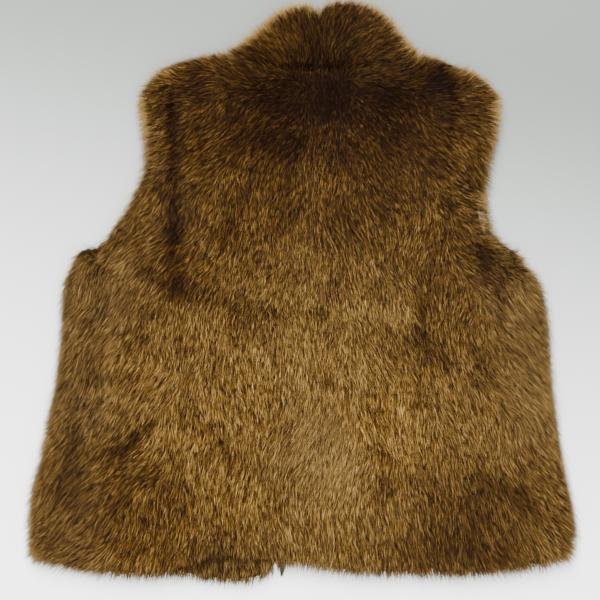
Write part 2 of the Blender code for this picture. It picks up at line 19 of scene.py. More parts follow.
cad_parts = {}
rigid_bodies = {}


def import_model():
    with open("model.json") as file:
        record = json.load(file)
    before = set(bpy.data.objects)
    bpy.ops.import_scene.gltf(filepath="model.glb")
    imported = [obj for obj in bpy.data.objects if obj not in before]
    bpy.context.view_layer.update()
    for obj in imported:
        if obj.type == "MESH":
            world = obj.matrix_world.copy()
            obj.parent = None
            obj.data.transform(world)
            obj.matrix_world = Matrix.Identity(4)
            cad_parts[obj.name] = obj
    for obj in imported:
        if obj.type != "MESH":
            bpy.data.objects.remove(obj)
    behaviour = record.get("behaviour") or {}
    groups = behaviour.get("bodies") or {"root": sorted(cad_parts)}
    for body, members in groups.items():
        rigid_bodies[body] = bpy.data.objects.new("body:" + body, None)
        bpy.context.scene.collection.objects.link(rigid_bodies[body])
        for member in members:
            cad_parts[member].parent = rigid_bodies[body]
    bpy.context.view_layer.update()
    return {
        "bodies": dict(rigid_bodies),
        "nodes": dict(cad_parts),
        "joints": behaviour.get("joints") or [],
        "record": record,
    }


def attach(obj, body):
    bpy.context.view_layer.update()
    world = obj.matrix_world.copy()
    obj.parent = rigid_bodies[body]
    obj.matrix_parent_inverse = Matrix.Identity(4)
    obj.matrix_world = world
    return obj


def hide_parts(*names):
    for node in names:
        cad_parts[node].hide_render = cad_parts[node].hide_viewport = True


log = logging.getLogger("vest")

MM = 0.001
BODY = "root"
PALETTE = "OFBake"

# A colour for a shader. A patch of the plan, as its lowest and highest x and its lowest and highest y.
Colour = tuple[float, float, float, float]
Patch = tuple[float, float, float, float]

# Cloth faces up or down in full once its normal is 30 degrees from level, and in part before that.
FACING_GAIN = 2

# Corners nearer than the gap, in metres, are one. No length is divided by if it is less than tiny.
JOIN_GAP = 1e-6
TINY = 1e-9


class Side(Enum):
    """Which way a part of the cloth faces."""

    TOP = 1
    UNDER = -1


@dataclass(frozen=True)
class Guide:
    """How the fur lies round one place: its direction in degrees, how steeply it rises, length and colour.

    The shade is partly the fur's own tone and partly painted light and shade for how its lie meets the light.
    The name is for whoever reads the table.
    """

    name: str
    x: float
    y: float
    angle: float
    rise: float
    length: float
    shade: float
    warmth: float


@dataclass(frozen=True)
class Fold:
    """A soft line along which the cloth sinks or swells, and the fur is painted darker in its hollows and
    under edges and lighter on its ridges, with some of the fur's own tone.
    """

    name: str
    x: float
    y: float
    to_x: float
    to_y: float
    half_width: float
    rise: float
    shade: float
    side: Side = Side.TOP


GUIDES = (
    Guide("back of the neck", 28, 185, -90, 0.5, 9, -0.7, 0.75),
    Guide("left of the neck", -32, 192, -148, 0.6, 9, -0.64, 0.6),
    Guide("right of the neck", 90, 192, -38, 0.6, 9, -0.68, 0.6),
    Guide("left neck corner", -72, 172, -122, 0.45, 14, -0.36, 0.6),
    Guide("right neck corner", 124, 170, -60, 0.45, 14, -0.36, 0.6),
    Guide("under the neck", 20, 150, -92, 0.45, 11, -0.42, 0.6),
    Guide("under the neck, left", -25, 156, -130, 0.45, 11, -0.46, 0.65),
    Guide("under the neck, right", 62, 152, -58, 0.45, 11, -0.44, 0.65),
    Guide("collar, parting left", 6, 262, 110, 0.5, 17, -0.44, 0.6),
    Guide("collar, left", -38, 245, 132, 0.4, 19, -0.34, 0.7),
    Guide("collar, far left", -66, 222, 155, 0.4, 18, -0.42, 0.6),
    Guide("collar, parting right", 34, 262, 62, 0.5, 17, -0.48, 0.5),
    Guide("collar, right", 62, 250, 32, 0.4, 18, -0.41, 0.5),
    Guide("collar, far right", 96, 226, 8, 0.4, 18, -0.41, 0.4),
    Guide("collar foot", 16, 222, 90, 0.6, 10, -0.57, 0.5),
    Guide("left shoulder edge, inner", -96, 232, 146, 0.55, 16, -0.21, 0.5),
    Guide("left shoulder edge, outer", -136, 217, 152, 0.55, 17, -0.18, 0.5),
    Guide("left shoulder corner", -160, 194, -166, 0.5, 17, -0.13, 0.5),
    Guide("right shoulder edge, inner", 122, 232, 42, 0.55, 16, -0.28, 0.5),
    Guide("right shoulder edge, outer", 164, 214, 30, 0.55, 17, -0.24, 0.5),
    Guide("right shoulder corner", 194, 186, -8, 0.5, 19, -0.08, 0.35),
    Guide("left shoulder", -112, 214, -158, 0.4, 17, -0.52, 0.7),
    Guide("left shoulder point", -146, 196, -142, 0.4, 17, -0.38, 0.6),
    Guide("left armhole", -152, 130, -138, 0.4, 15, -0.2, 0.35),
    Guide("left armhole, low", -156, 70, -140, 0.4, 15, -0.18, 0.6),
    Guide("right shoulder", 140, 212, -8, 0.4, 17, -0.8, 0.7),
    Guide("right shoulder point", 186, 190, -20, 0.4, 17, -0.47, 0.6),
    Guide("right armhole", 190, 130, -48, 0.4, 15, -0.26, 0.6),
    Guide("right armhole, low", 172, 60, -60, 0.4, 15, -0.21, 0.6),
    Guide("right armhole edge", 186, 66, -22, 0.8, 13, -0.14, 0.3),
    Guide("right underarm tuft", 214, 22, -30, 0.6, 13, -0.34, 0.3),
    Guide("left shoulder blade", -107, 130, -130, 0.42, 15, -0.22, 0.8),
    Guide("left waist", -107, 30, -124, 0.4, 15, -0.15, 0.75),
    Guide("upper middle, left", -50, 110, -100, 0.42, 15, -0.25, 0.7),
    Guide("upper middle", 16, 100, -90, 0.42, 15, -0.24, 0.6),
    Guide("upper middle, right", 80, 100, -66, 0.42, 15, -0.27, 0.6),
    Guide("left of middle, high", -76, 60, -104, 0.42, 15, -0.17, 0.75),
    Guide("waist, left of middle", -50, 0, -92, 0.42, 14, -0.05, 0.6),
    Guide("waist, middle", 20, 0, -88, 0.42, 14, -0.05, 0.5),
    Guide("waist, right of middle", 84, 0, -66, 0.42, 14, -0.06, 0.5),
    Guide("left princess valley", -132, 70, -112, 0.42, 14, -0.23, 0.4),
    Guide("right back", 120, 40, -112, 0.4, 15, -0.17, 0.6),
    Guide("right back, waist", 146, -20, -88, 0.4, 15, -0.15, 0.6),
    Guide("right side", 222, 0, -48, 0.4, 16, 0.1, 0.05),
    Guide("right side, middle", 238, -110, -52, 0.4, 16, 0.1, 0.1),
    Guide("right side, low", 243, -215, -56, 0.4, 16, -0.12, 0.5),
    Guide("right hip", 170, -130, -76, 0.34, 15, 0.0, 0.55),
    Guide("right hem", 158, -245, -80, 0.3, 15, -0.33, 0.45),
    Guide("left side", -204, -10, -112, 0.4, 16, -0.02, 0.2),
    Guide("left side, middle", -218, -110, -116, 0.4, 16, -0.02, 0.2),
    Guide("left side, low", -242, -200, -128, 0.4, 16, -0.18, 0.35),
    Guide("left corner", -242, -262, -142, 0.3, 16, -0.1, 0.4),
    Guide("left hip", -160, -90, -126, 0.34, 15, 0.01, 0.7),
    Guide("under the left waist", -118, -60, -94, 0.36, 15, -0.03, 0.7),
    Guide("left of the lower middle", -112, -160, -90, 0.32, 15, -0.03, 0.8),
    Guide("left hip, low", -172, -190, -130, 0.34, 15, -0.22, 0.75),
    Guide("lower middle", 16, -90, -90, 0.32, 14, 0.07, 0.6),
    Guide("lower middle, left", -60, -110, -87, 0.32, 14, 0.03, 0.8),
    Guide("ridge", 18, -160, -112, 0.3, 15, 0.19, 0.25),
    Guide("lower right of middle", 80, -140, -82, 0.3, 15, 0.04, 0.9),
    Guide("hem, middle", 16, -245, -92, 0.26, 15, 0.0, 0.55),
    Guide("hem, left of middle", -70, -225, -90, 0.26, 15, -0.01, 0.9),
    Guide("hem, right of middle", 90, -240, -86, 0.26, 15, -0.03, 0.5),
    Guide("hem over the tab", -72, -260, -96, 0.35, 11, -0.12, 0.4),
    Guide("tab of the front", -64, -285, -92, 0.35, 11, -0.06, 0.35),
    Guide("hem, left", -140, -240, -104, 0.28, 15, -0.17, 0.8),
)

FOLDS = (
    Fold("left princess seam, top", -131, 190, -128, 50, 8, 0.3, -0.3),
    Fold("left princess seam, waist", -130, 50, -124, -4, 10, 0.5, -0.22),
    Fold("left princess seam, low", -122, -4, -133, -270, 5, 1.6, 0.0),
    Fold("right princess seam", 116, 0, 118, -118, 7, 0.8, -0.1),
    Fold("right princess seam, low", 118, -118, 131, -270, 5, 1.6, 0.0),
    Fold("right princess seam, top", 132, 26, 149, 200, 5, 1.6, 0.0),
    Fold("waist seam, left", -124, -4, -36, -20, 6, 2.2, -0.02),
    Fold("waist seam, middle", -36, -20, 30, -19, 6, 2.0, -0.02),
    Fold("waist seam, right", 30, -19, 116, -28, 6, 1.4, -0.05),
    Fold("shade under the waist seam", -62, -27, -20, -34, 9, -0.8, -0.08),
    Fold("shade over the waist seam, left", -122, 2, -84, -8, 7, 0.0, -0.07),
    Fold("swell under the waist seam", 34, -26, 108, -30, 8, 1.0, 0.44),
    Fold("left side seam", -212, 27, -198, -20, 7, -0.8, -0.1),
    Fold("left side seam, middle", -206, -20, -208, -96, 8, -0.8, -0.1),
    Fold("left side crease", -227, -140, -235, -200, 9, -1.4, -0.2),
    Fold("left side hollow", -236, -100, -208, -97, 10, -1.2, -0.18),
    Fold("left underarm trough", -206, 36, -186, 11, 9, -1.4, -0.16),
    Fold("left underarm tuft", -188, 22, -182, 16, 6, 0.8, 0.16),
    Fold("left side swell", -192, -58, -194, -116, 7, 0.6, 0.12),
    Fold("left side shade", -236, -20, -216, -32, 9, 0.0, -0.08),
    Fold("left hip light", -118, -150, -104, -168, 9, 0.5, 0.08),
    Fold("shade left of the middle", -76, 76, -56, 50, 14, 0.0, -0.09),
    Fold("shade right of the middle", 32, 88, 50, 54, 12, 0.0, -0.08),
    Fold("light in the lower middle", 18, -66, 64, -98, 16, 0.0, 0.05),
    Fold("left waist crease", -156, 14, -132, -4, 10, -1.0, -0.14),
    Fold("left waist nick", -174, -14, -174, -31, 6, -0.8, -0.1),
    Fold("left hip crease", -180, -164, -147, -134, 5, -1.4, -0.26),
    Fold("left hip ridge", -168, -176, -132, -146, 9, 1.0, 0.07),
    Fold("right underarm trough", 182, 36, 184, 8, 8, -0.7, -0.26),
    Fold("right underarm fold", 194, 0, 200, -16, 7, -1.0, -0.2),
    Fold("right waist pinch", 122, -54, 142, -74, 9, -1.2, -0.22),
    Fold("right hip pinch", 173, -66, 184, -88, 9, -1.2, -0.19),
    Fold("right hip ridge", 99, -126, 112, -152, 9, 0.8, 0.15),
    Fold("lower furrow", 80, -162, 84, -206, 9, -1.4, -0.18),
    Fold("right hem hollow", 184, -196, 226, -216, 13, -1.4, -0.18),
    Fold("centre ridge", 44, -172, 22, -226, 13, 1.0, 0.1),
    Fold("low ridge", 44, -221, 72, -238, 8, 0.8, 0.1),
    Fold("low left ridge", -58, -198, -50, -213, 8, 0.8, 0.1),
    Fold("low left swell", -116, -238, -118, -256, 8, 0.8, 0.08),
    Fold("right hem dent", 92, -254, 132, -267, 9, -1.2, -0.14),
    Fold("left hem dent", -107, -256, -75, -264, 8, -1.0, -0.12),
    Fold("shade under the hem, left", -122, -276, -92, -271, 4, -1.0, -0.34),
    Fold("shade under the hem, right", -92, -267, -42, -268, 3.5, -1.0, -0.3),
    Fold("neck shade, left", -62, 188, 22, 192, 26, 0.0, -0.04),
    Fold("left blade crease", -70, 147, -17, 130, 12, -0.5, -0.14),
    Fold("left blade tuft", -62, 118, -52, 110, 8, 0.4, 0.07),
    Fold("right armhole edge", 177, 84, 190, 48, 3.5, 0.0, 0.24),
    Fold("neck shade, right", 22, 192, 118, 186, 26, 0.0, -0.04),
    Fold("collar parting", 16, 288, 17, 226, 5, 2.2, -0.06),
    Fold("under left crease", -170, 60, -120, -20, 16, -1.6, -0.06, Side.UNDER),
    Fold("under left furrow", -140, -120, -176, -190, 18, -1.8, -0.06, Side.UNDER),
    Fold("under right crease", 150, 40, 110, -40, 16, -1.6, -0.06, Side.UNDER),
    Fold("under right furrow", 120, -150, 150, -230, 18, -1.8, -0.06, Side.UNDER),
)


@dataclass(frozen=True)
class Clearing:
    """A line that hairs leave free, so that what lies there shows."""

    name: str
    x: float
    y: float
    to_x: float
    to_y: float
    half_width: float


CLEARINGS = (
    Clearing("satin at the right armhole", 179, 79, 184, 55, 2.2),
    Clearing("tape point at the hem", -27, -274, -25, -284, 2),
)


def gap_to(line: Fold | Clearing, places: np.ndarray) -> np.ndarray:
    """How far each place is from a line.

    Args:
        line: A fold or a clearing.
        places: Points in millimetres, one per row.

    Returns:
        The distances in millimetres.
    """
    start = np.array([line.x, line.y])
    run = np.array([line.to_x, line.to_y]) - start
    offset = places[:, :2] - start
    share = np.clip(offset @ run / run.dot(run), 0, 1)
    return np.linalg.norm(offset - share[:, None] * run, axis=1)


def is_free(places: np.ndarray) -> np.ndarray:
    """Whether each place is clear of every line that hairs leave free."""
    return np.all([gap_to(line, places) > line.half_width for line in CLEARINGS], axis=0)


WAVE_COUNT = 7
WAVE_STRETCHES = (0.6, 1.7)
WAVE_HEIGHT = 3.0


def waves(x: np.ndarray, y: np.ndarray, size: float, seed: int) -> np.ndarray:
    """Smooth uneven values round 0, from a few straight waves that cross each other.

    Args:
        x: Places across, in millimetres.
        y: Places up, in millimetres.
        size: Width of one bump, in millimetres.
        seed: Which pattern.

    Returns:
        One value for each place, mostly from -1 to 1.
    """
    rng = np.random.default_rng(seed)
    turns = rng.uniform(0, math.pi, WAVE_COUNT)
    phases = rng.uniform(0, math.tau, WAVE_COUNT)
    stretches = rng.uniform(*WAVE_STRETCHES, WAVE_COUNT)
    total = np.zeros(np.shape(x))
    for turn, phase, stretch in zip(turns, phases, stretches):
        total += np.cos((x * math.cos(turn) + y * math.sin(turn)) * math.pi * stretch / size + phase)
    return total / WAVE_HEIGHT


def fold_effects(places: np.ndarray, facing: np.ndarray) -> tuple[np.ndarray, np.ndarray]:
    """How far the folds lift the cloth and change the fur's shade.

    Args:
        places: Points in millimetres, one per row.
        facing: The vertical part of the normal at each.

    Returns:
        The rise in millimetres and the change of shade.
    """
    rise, shade = np.zeros(len(places)), np.zeros(len(places))
    for fold in FOLDS:
        strength = np.exp(-((gap_to(fold, places) / fold.half_width) ** 2))
        strength *= np.clip(fold.side.value * facing * FACING_GAIN, 0, 1)
        rise += fold.rise * strength
        shade += fold.shade * strength
    return rise, shade


@dataclass
class Comb:
    """The fur's lie at every place, mixed from the guides by their nearness.

    The direction wanders in wide and in narrow waves. Under the vest the fur is pressed down towards the hem.
    """

    softness: float = 16.0
    wander: float = 0.2
    wide: float = 46.0
    wide_seed: int = 3
    narrow: float = 17.0
    narrow_seed: int = 4
    narrow_share: float = 0.5
    under_angle: float = -90.0
    under_from: float = 0.5
    under_fan: float = 0.05
    under_rise: float = 0.22

    def read(self, places: np.ndarray, facing: np.ndarray) -> dict[str, np.ndarray]:
        """Read the comb at some places.

        Args:
            places: Points in millimetres, one per row.
            facing: The vertical part of the normal at each.

        Returns:
            The fur's angle in radians, and its rise, length, shade and warmth.
        """
        x, y = places[:, 0], places[:, 1]
        spots = np.array([(guide.x, guide.y) for guide in GUIDES])
        gap = ((places[:, None, :2] - spots) ** 2).sum(axis=2)
        weight = 1 / (gap + self.softness**2) ** 2
        weight /= weight.sum(axis=1)[:, None]
        read = {key: weight @ np.array([getattr(guide, key) for guide in GUIDES])
                for key in ("rise", "length", "shade", "warmth")}
        turn = np.radians([guide.angle for guide in GUIDES])
        angle = np.arctan2(weight @ np.sin(turn), weight @ np.cos(turn))
        under = np.clip(-facing * FACING_GAIN, 0, 1)
        angle = np.where(under > self.under_from, np.radians(self.under_angle + self.under_fan * x), angle)
        uneven = waves(x, y, self.wide, self.wide_seed)
        read["angle"] = angle + self.wander * (
            uneven + self.narrow_share * waves(x, y, self.narrow, self.narrow_seed))
        read["rise"] = read["rise"] * (1 - under) + self.under_rise * under
        return read


class Shade:
    """One value in a shader, with arithmetic that adds Math nodes."""

    def __init__(self, finish: "Finish", socket: bpy.types.NodeSocket) -> None:
        """Wrap a socket of a finish's node tree."""
        self.finish = finish
        self.socket = socket

    def _math(self, operation: str, first: object, second: object) -> "Shade":
        """A Math node's result from two values, each a Shade or a number."""
        node = self.finish.add("ShaderNodeMath", {"operation": operation}, {0: first, 1: second})
        return Shade(self.finish, node.outputs[0])

    def __add__(self, other: object) -> "Shade":
        """This value plus another."""
        return self._math("ADD", self, other)

    def __sub__(self, other: object) -> "Shade":
        """This value less another."""
        return self._math("SUBTRACT", self, other)

    def __mul__(self, other: object) -> "Shade":
        """This value times another."""
        return self._math("MULTIPLY", self, other)

    def __truediv__(self, other: object) -> "Shade":
        """This value over another."""
        return self._math("DIVIDE", self, other)

    def __rsub__(self, other: object) -> "Shade":
        """Another value less this one."""
        return self._math("SUBTRACT", other, self)

    __radd__ = __add__
    __rmul__ = __mul__

    def clamped(self) -> "Shade":
        """This value kept from 0 to 1."""
        return self._math("MINIMUM", self._math("MAXIMUM", self, 0.0), 1.0)


class Finish:
    """A material and the one way its nodes are added."""

    def __init__(self, name: str, roughness: float) -> None:
        """Start a material with a Principled surface.

        Args:
            name: The material's name.
            roughness: Its roughness all over.
        """
        self.material = bpy.data.materials.new(name)
        self.material.use_nodes = True
        self.tree = self.material.node_tree
        self.surface = self.tree.nodes["Principled BSDF"]
        self.surface.inputs["Roughness"].default_value = roughness

    def add(self, kind: str, settings: dict | None = None, values: dict | None = None) -> bpy.types.Node:
        """Add a node.

        Args:
            kind: The node's type.
            settings: Properties to set on it.
            values: What goes into each socket: a number, a colour, a Shade or another node's socket.

        Returns:
            The node.
        """
        node = self.tree.nodes.new(kind)
        for key, setting in (settings or {}).items():
            setattr(node, key, setting)
        for key, value in (values or {}).items():
            if isinstance(value, Shade):
                self.tree.links.new(value.socket, node.inputs[key])
            elif isinstance(value, bpy.types.NodeSocket):
                self.tree.links.new(value, node.inputs[key])
            else:
                node.inputs[key].default_value = value
        return node

    def blend(self, factor: object, first: object, second: object) -> bpy.types.NodeSocket:
        """A colour between two, each an (r, g, b, 1) or a socket."""
        return self.add("ShaderNodeMix", {"data_type": "RGBA"}, {0: factor, 6: first, 7: second}).outputs[2]

    def place(self) -> bpy.types.NodeSocket:
        """The Object coordinates."""
        return self.add("ShaderNodeTexCoord").outputs["Object"]

    def colour(self, socket: bpy.types.NodeSocket) -> None:
        """Link the surface's base colour."""
        self.tree.links.new(socket, self.surface.inputs["Base Color"])

    def bump(self, height: Shade, depth: float) -> None:
        """Link a bump of a depth in metres to the surface's normal."""
        node = self.add("ShaderNodeBump", None, {"Height": height, "Distance": depth, "Strength": 1.0})
        self.tree.links.new(node.outputs["Normal"], self.surface.inputs["Normal"])


SCREEN_WHITE = 255
SCREEN_OFFSET = 0.055
SCREEN_POWER = 2.4


def seen(*values: float) -> Colour:
    """A colour for a shader from its red, green and blue as they look on a screen, each up to 255."""
    shares = [(value / SCREEN_WHITE + SCREEN_OFFSET) / (1 + SCREEN_OFFSET) for value in values]
    return (*[share**SCREEN_POWER for share in shares], 1.0)


@dataclass(frozen=True)
class FurFinish:
    """The finish of fur, which reads the palette: its first value is the shade and its second the warmth.

    The shade runs from dark through brown and tan to pale. The less warm the fur, the more of a scale from
    dark to grey is mixed in.
    """

    name: str
    dark: Colour = seen(9, 1, 0)
    brown: Colour = seen(46, 19, 0)
    tan: Colour = seen(105, 73, 10)
    pale: Colour = seen(172, 142, 84)
    grey: Colour = seen(102, 80, 46)
    brown_at: float = 0.42
    tan_at: float = 0.72
    grey_at: float = 0.9
    coolest: float = 0.25
    gloss: float = 0.03
    roughness: float = 0.62

    def make(self) -> bpy.types.Material:
        """Build the material's nodes.

        Returns:
            The material.
        """
        finish = Finish(self.name, self.roughness)
        map_node = finish.add("ShaderNodeUVMap", {"uv_map": PALETTE})
        parts = finish.add("ShaderNodeSeparateXYZ", None, {0: map_node.outputs[0]})
        shade, warmth = Shade(finish, parts.outputs[0]), Shade(finish, parts.outputs[1])
        low = finish.blend((shade / self.brown_at).clamped(), self.dark, self.brown)
        past_brown = ((shade - self.brown_at) / (self.tan_at - self.brown_at)).clamped()
        high = finish.blend(past_brown, low, self.tan)
        past_tan = ((shade - self.tan_at) / (1 - self.tan_at)).clamped()
        top = finish.blend(past_tan, high, self.pale)
        cool = finish.blend((shade / self.grey_at).clamped(), self.dark, self.grey)
        finish.colour(finish.blend((self.coolest + warmth * (1 - self.coolest)).clamped(), cool, top))
        finish.surface.inputs["Specular IOR Level"].default_value = self.gloss
        return finish.material


@dataclass(frozen=True)
class BackingFinish:
    """The finish of the cloth that the fur grows from, and of the dense underfur on it."""

    name: str
    deep: Colour = seen(24, 10, 1)
    raised: Colour = seen(54, 30, 6)
    tuft: float = 0.0016
    detail: float = 3.0
    detail_roughness: float = 0.6
    deep_up_to: float = 0.35
    contrast: float = 3.0
    depth: float = 0.0008
    gloss: float = 0.03
    roughness: float = 0.9

    def make(self) -> bpy.types.Material:
        """Build the material's nodes.

        Returns:
            The material.
        """
        finish = Finish(self.name, self.roughness)
        noise = finish.add("ShaderNodeTexNoise", None,
                           {"Vector": finish.place(), "Scale": 1 / self.tuft, "Detail": self.detail,
                            "Roughness": self.detail_roughness})
        grain = Shade(finish, noise.outputs[0])
        # The low parts of the grain are darker: partly the underfur's own colour, partly painted shade
        # between its tufts.
        share = ((grain - self.deep_up_to) * self.contrast).clamped()
        finish.colour(finish.blend(share, self.deep, self.raised))
        finish.bump(grain, self.depth)
        finish.surface.inputs["Specular IOR Level"].default_value = self.gloss
        return finish.material


@dataclass(frozen=True)
class SatinFinish:
    """The finish of the satin lining: a fine weave with a soft sheen, its gold darkened to a painted shadow
    in soft patches along its folds.
    """

    name: str
    shadow: Colour = seen(40, 25, 5)
    gold: Colour = seen(108, 84, 32)
    folds: float = 260.0
    folds_detail: float = 2.0
    shadow_up_to: float = 0.38
    contrast: float = 3.4
    sheen: float = 0.1
    weave: float = 640.0
    weave_wander: float = 0.4
    depth: float = 0.00006
    roughness: float = 0.3

    def make(self) -> bpy.types.Material:
        """Build the material's nodes.

        Returns:
            The material.
        """
        finish = Finish(self.name, self.roughness)
        place = finish.place()
        noise = finish.add("ShaderNodeTexNoise", None,
                           {"Vector": place, "Scale": self.folds, "Detail": self.folds_detail})
        # Painted shade: the gold turns to the shadow colour in soft patches, as in folds.
        share = ((Shade(finish, noise.outputs[0]) - self.shadow_up_to) * self.contrast).clamped()
        finish.colour(finish.blend(share, self.shadow, self.gold))
        weave = finish.add("ShaderNodeTexWave", {"bands_direction": "DIAGONAL"},
                           {"Vector": place, "Scale": self.weave, "Distortion": self.weave_wander})
        finish.bump(Shade(finish, weave.outputs[1]), self.depth)
        finish.surface.inputs["Sheen Weight"].default_value = self.sheen
        return finish.material


@dataclass(frozen=True)
class TapeFinish:
    """The finish of the black closing tape: a close ribbed weave."""

    name: str
    hollow: Colour = seen(12, 11, 12)
    thread: Colour = seen(40, 38, 40)
    rib: float = 0.0011
    rib_scale: float = 0.32
    row_scale: float = 0.2
    rib_share: float = 0.6
    row_share: float = 0.4
    depth: float = 0.00015
    roughness: float = 0.7

    def make(self) -> bpy.types.Material:
        """Build the material's nodes.

        Returns:
            The material.
        """
        finish = Finish(self.name, self.roughness)
        place = finish.place()
        ribs, rows = (
            Shade(finish, finish.add("ShaderNodeTexWave", {"bands_direction": way},
                                     {"Vector": place, "Scale": scale / self.rib}).outputs[1])
            for way, scale in (("Y", self.rib_scale), ("X", self.row_scale)))
        weave = ribs * self.rib_share + rows * self.row_share
        # The hollows between the ribs are darker: partly the weave's own pattern, partly painted shade.
        finish.colour(finish.blend(weave, self.hollow, self.thread))
        finish.bump(weave, self.depth)
        return finish.material


@dataclass(frozen=True)
class FloorFinish:
    """The finish of the table: matt, and from pale to a painted shade in one smooth step, darker towards its
    far side and its right.
    """

    name: str
    pale: Colour = seen(248, 254, 251)
    # The far colour is painted shade.
    far: Colour = seen(100, 105, 102)
    up: float = 1.5
    across: float = 0.3
    middle: float = 0.56
    roughness: float = 0.75

    def make(self) -> bpy.types.Material:
        """Build the material's nodes.

        Returns:
            The material.
        """
        finish = Finish(self.name, self.roughness)
        parts = finish.add("ShaderNodeSeparateXYZ", None, {0: finish.place()})
        # Painted shade: the table darkens towards its far side and its right, in one smooth step.
        away = Shade(finish, parts.outputs[1]) * self.up + Shade(finish, parts.outputs[0]) * self.across
        share = (away + self.middle).clamped()
        finish.colour(finish.blend(share * share * (3.0 - share * 2.0), self.pale, self.far))
        return finish.material


def link(name: str, mesh: bpy.types.Mesh, material: bpy.types.Material) -> bpy.types.Object:
    """Put a mesh in the scene as an object at the origin.

    Args:
        name: The object's name.
        mesh: Its mesh.
        material: Its one material.

    Returns:
        The object.
    """
    mesh.materials.clear()
    mesh.materials.append(material)
    piece = bpy.data.objects.new(name, mesh)
    bpy.context.scene.collection.objects.link(piece)
    return piece


def merged(node: bpy.types.Object) -> bmesh.types.BMesh:
    """Copy a solid of the frame and join its corners.

    Args:
        node: The solid, which stays as it is.

    Returns:
        The copy, with its faces pointing outwards.
    """
    mesh = bmesh.new()
    mesh.from_mesh(node.data)
    bmesh.ops.remove_doubles(mesh, verts=mesh.verts, dist=JOIN_GAP)
    bmesh.ops.recalc_face_normals(mesh, faces=mesh.faces)
    return mesh


@dataclass
class Surface:
    """The furry side of a panel, with the places where fur grows on it.

    Below one height, in millimetres, cloth that faces up is a panel's inner side, and above another, cloth
    that faces down is. Fur grows there only on the patches where the pile is turned in. None grows where
    another panel covers the cloth.
    """

    node: bpy.types.Object
    others: list[bpy.types.Object]
    turned: tuple[Patch, ...] = ()
    cover: float = 4.0
    clear: float = 0.1
    lay_above: float = 7.5
    lay_below: float = 9.5
    tilt: float = 0.3
    corners: np.ndarray = field(init=False)
    faces: np.ndarray = field(init=False)
    normals: np.ndarray = field(init=False)
    areas: np.ndarray = field(init=False)

    def __post_init__(self) -> None:
        """Find the triangles that carry pile."""
        mesh = merged(self.node)
        bmesh.ops.triangulate(mesh, faces=mesh.faces)
        mesh.verts.ensure_lookup_table()
        self.corners = np.array([vertex.co for vertex in mesh.verts]) / MM
        trees = [BVHTree.FromPolygons([vertex.co for vertex in other.data.vertices],
                                      [face.vertices for face in other.data.polygons])
                 for other in self.others]
        kept = [face for face in mesh.faces if self._carries(face, trees)]
        self.faces = np.array([[vertex.index for vertex in face.verts] for face in kept])
        mesh.free()
        a, b, c = (self.corners[self.faces[:, k]] for k in range(3))
        cross = np.cross(b - a, c - a)
        self.areas = np.linalg.norm(cross, axis=1) / 2
        self.normals = np.zeros_like(self.corners)
        for k in range(3):
            np.add.at(self.normals, self.faces[:, k], cross)
        self.normals /= np.maximum(np.linalg.norm(self.normals, axis=1), TINY)[:, None]

    def _carries(self, face: bmesh.types.BMFace, trees: list[BVHTree]) -> bool:
        """Whether a triangle is on the furry side and isn't shut in a seam.

        Args:
            face: The triangle.
            trees: The other panels, which may cover it.

        Returns:
            True where pile grows on it.
        """
        centre, normal = face.calc_center_median(), face.normal
        height = centre.z / MM
        inner = (normal.z > self.tilt and height < self.lay_below) or (
            normal.z < -self.tilt and height > self.lay_above)
        if inner:
            x, y = centre.x / MM, centre.y / MM
            if not (normal.z > 0 and any(a <= x <= b and c <= y <= d for a, b, c, d in self.turned)):
                return False
        start = centre + normal * self.clear * MM
        return all(tree.ray_cast(start, normal, self.cover * MM)[0] is None for tree in trees)

    def is_turned(self, places: np.ndarray, normals: np.ndarray) -> np.ndarray:
        """Whether each place is on the cloth's inner side, where pile shows at an open edge."""
        return (normals[:, 2] > self.tilt) & (places[:, 2] < self.lay_below)

    def scatter(self, count: int, rng: np.random.Generator) -> tuple[np.ndarray, np.ndarray]:
        """Spread places over the furry side.

        Args:
            count: How many.
            rng: The source of chance.

        Returns:
            The places in millimetres, and the normals there.
        """
        total = np.cumsum(self.areas)
        picks = np.searchsorted(total, (np.arange(count) + rng.random(count)) / count * total[-1])
        picks = np.minimum(picks, len(self.faces) - 1)
        root, along = np.sqrt(rng.random(count)), rng.random(count)
        shares = np.stack([1 - root, root * (1 - along), root * along], axis=1)[:, :, None]
        chosen = self.faces[picks]
        places = (self.corners[chosen] * shares).sum(axis=1)
        normals = (self.normals[chosen] * shares).sum(axis=1)
        return places, normals / np.linalg.norm(normals, axis=1)[:, None]


